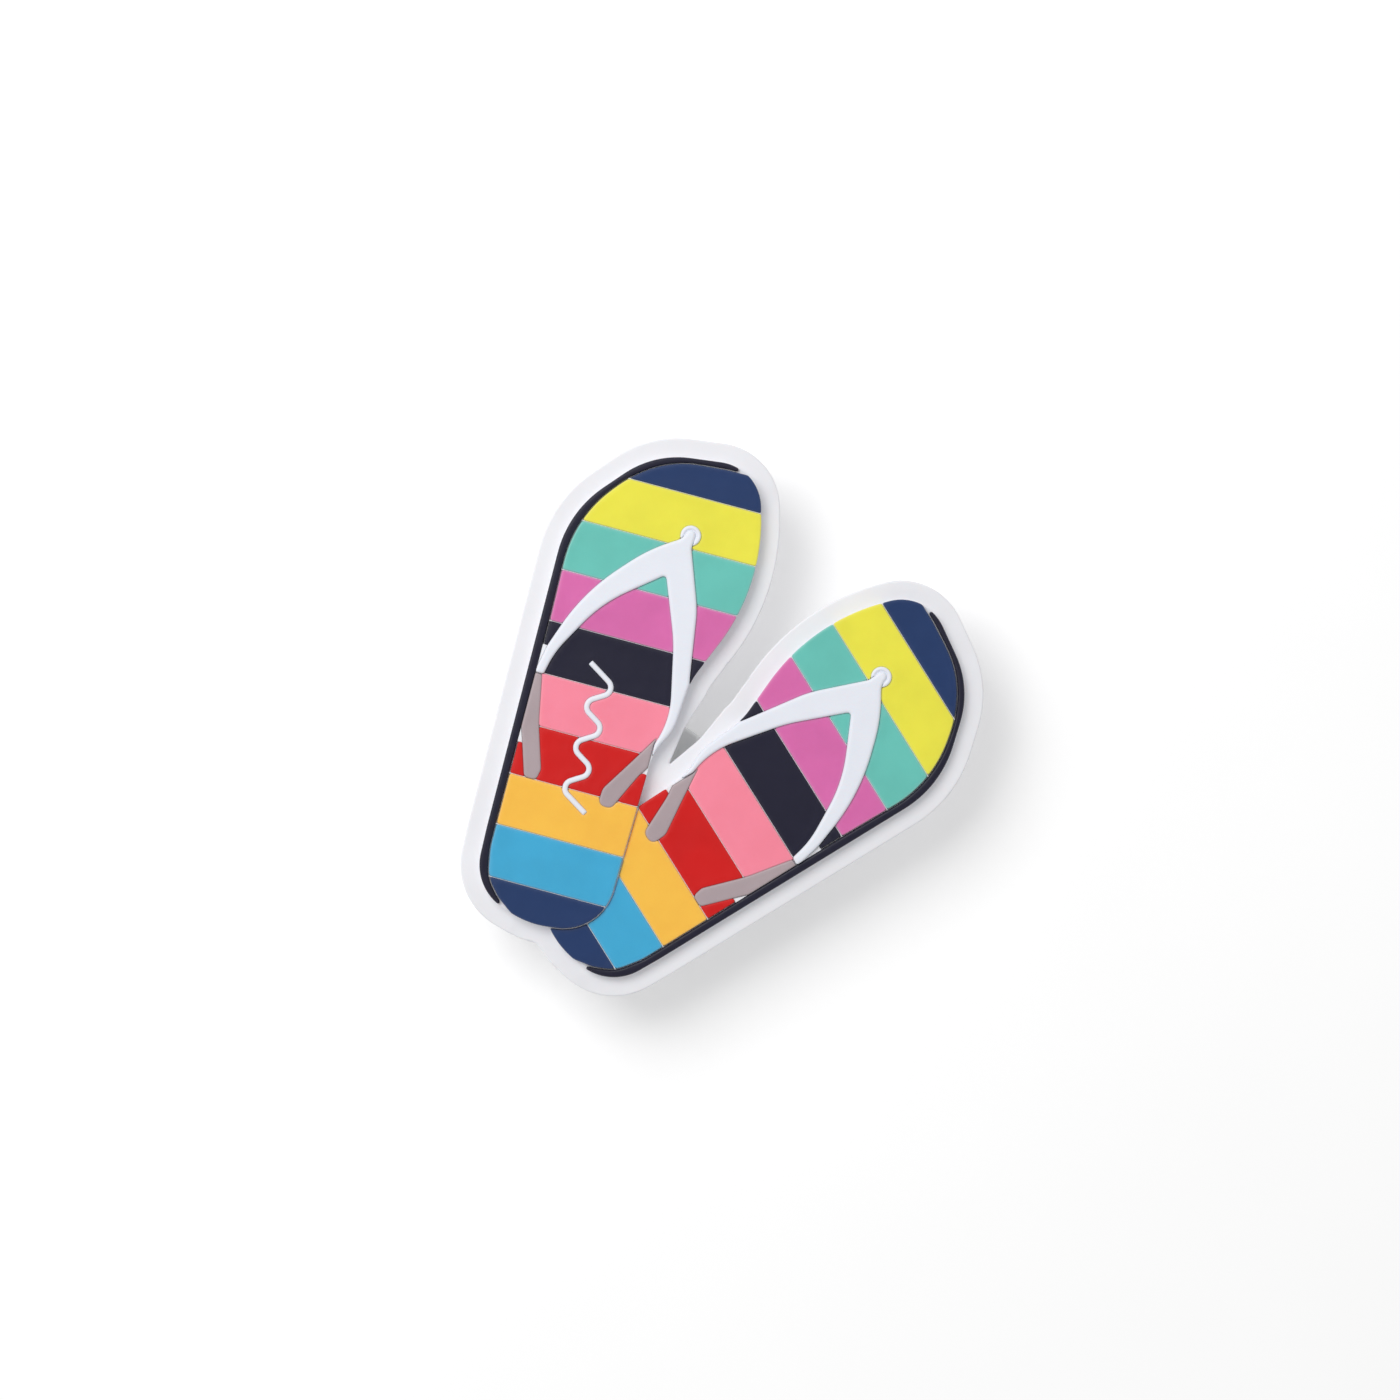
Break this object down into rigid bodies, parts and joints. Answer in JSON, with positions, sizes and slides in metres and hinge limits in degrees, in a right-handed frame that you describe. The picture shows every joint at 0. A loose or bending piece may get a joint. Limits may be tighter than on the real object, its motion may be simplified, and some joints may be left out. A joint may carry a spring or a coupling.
{
  "type": "snap-in tote charm",
  "caption": "Soft moulded charm shaped as a pair of striped thong sandals, with a back peg and push-on button that hold it in a round hole of a perforated tote.",
  "frame": {"origin": "on the peg's axis, at the flat back face of the backing", "axes": "+Z points out of the charm's face, away from the tote; +Y runs from the heels to the toes, midway between the two soles; +X is to the right seen from the front"},
  "size_m": [0.0658, 0.072, 0.0147],
  "materials": {
    "white_backing": "satin",
    "navy_stripe": "satin",
    "blue_stripe": "satin",
    "orange_stripe": "satin",
    "red_stripe": "satin",
    "pink_stripe": "satin",
    "ink_stripe": "satin",
    "orchid_stripe": "satin",
    "teal_stripe": "satin",
    "yellow_stripe": "satin",
    "ink_rim": "satin",
    "white_strap": "satin",
    "grey_tail": "satin",
    "peg_plastic": "satin",
    "button_plastic": "satin"
  },
  "bodies": {
    "charm": {"backing_base": "white_backing", "left_stripe_01": "navy_stripe", "left_stripe_02": "blue_stripe", "left_stripe_03": "orange_stripe", "left_stripe_04": "red_stripe", "left_stripe_05": "pink_stripe", "left_stripe_06": "ink_stripe", "left_stripe_07": "orchid_stripe", "left_stripe_08": "teal_stripe", "left_stripe_09": "yellow_stripe", "left_stripe_10": "navy_stripe", "left_rim": "ink_rim", "left_strap": "white_strap", "left_outer_tail": "grey_tail", "left_inner_tail": "grey_tail", "left_eyelet": "white_strap", "right_stripe_01": "navy_stripe", "right_stripe_02": "blue_stripe", "right_stripe_03": "orange_stripe", "right_stripe_04": "red_stripe", "right_stripe_05": "pink_stripe", "right_stripe_06": "ink_stripe", "right_stripe_07": "orchid_stripe", "right_stripe_08": "teal_stripe", "right_stripe_09": "yellow_stripe", "right_stripe_10": "navy_stripe", "right_rim": "ink_rim", "right_strap": "white_strap", "right_outer_tail": "grey_tail", "right_inner_tail": "grey_tail", "right_eyelet": "white_strap", "wave_motif": "white_strap", "snap_peg": "peg_plastic"},
    "button": {"back_button": "button_plastic"}
  },
  "joints": [
    {"name": "button_pull", "type": "slide", "parent": "charm", "child": "button", "axis": [0, 0, -1], "range_m": [0, 0.012]}
  ]
}
